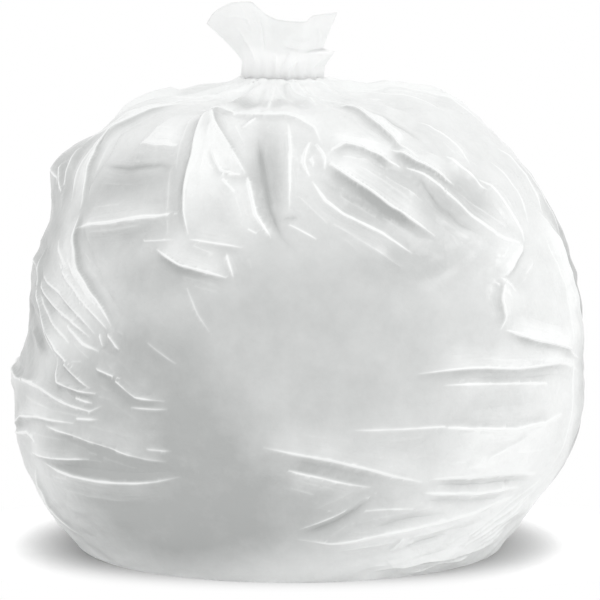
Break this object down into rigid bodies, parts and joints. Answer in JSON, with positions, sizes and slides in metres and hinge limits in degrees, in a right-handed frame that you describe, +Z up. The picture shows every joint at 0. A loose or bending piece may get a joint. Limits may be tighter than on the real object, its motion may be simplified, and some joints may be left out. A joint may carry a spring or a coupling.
{
  "type": "tied bin bag",
  "caption": "Filled bin bag of thin white film, tied at the neck, standing on its flattened base with creased sides and a ruffled open end above the tie.",
  "frame": {"origin": "middle of the bag's outer box, at the level of the ground", "axes": "+X to the right as seen from the front, along the widest span; -Y is the front; +Z up"},
  "size_m": [0.3902, 0.352, 0.371],
  "materials": {
    "bag_film": "glossy, slightly see-through film",
    "tie": "matte"
  },
  "bodies": {
    "root": {"bag": "bag_film", "neck_tie": "tie"}
  },
  "joints": []
}
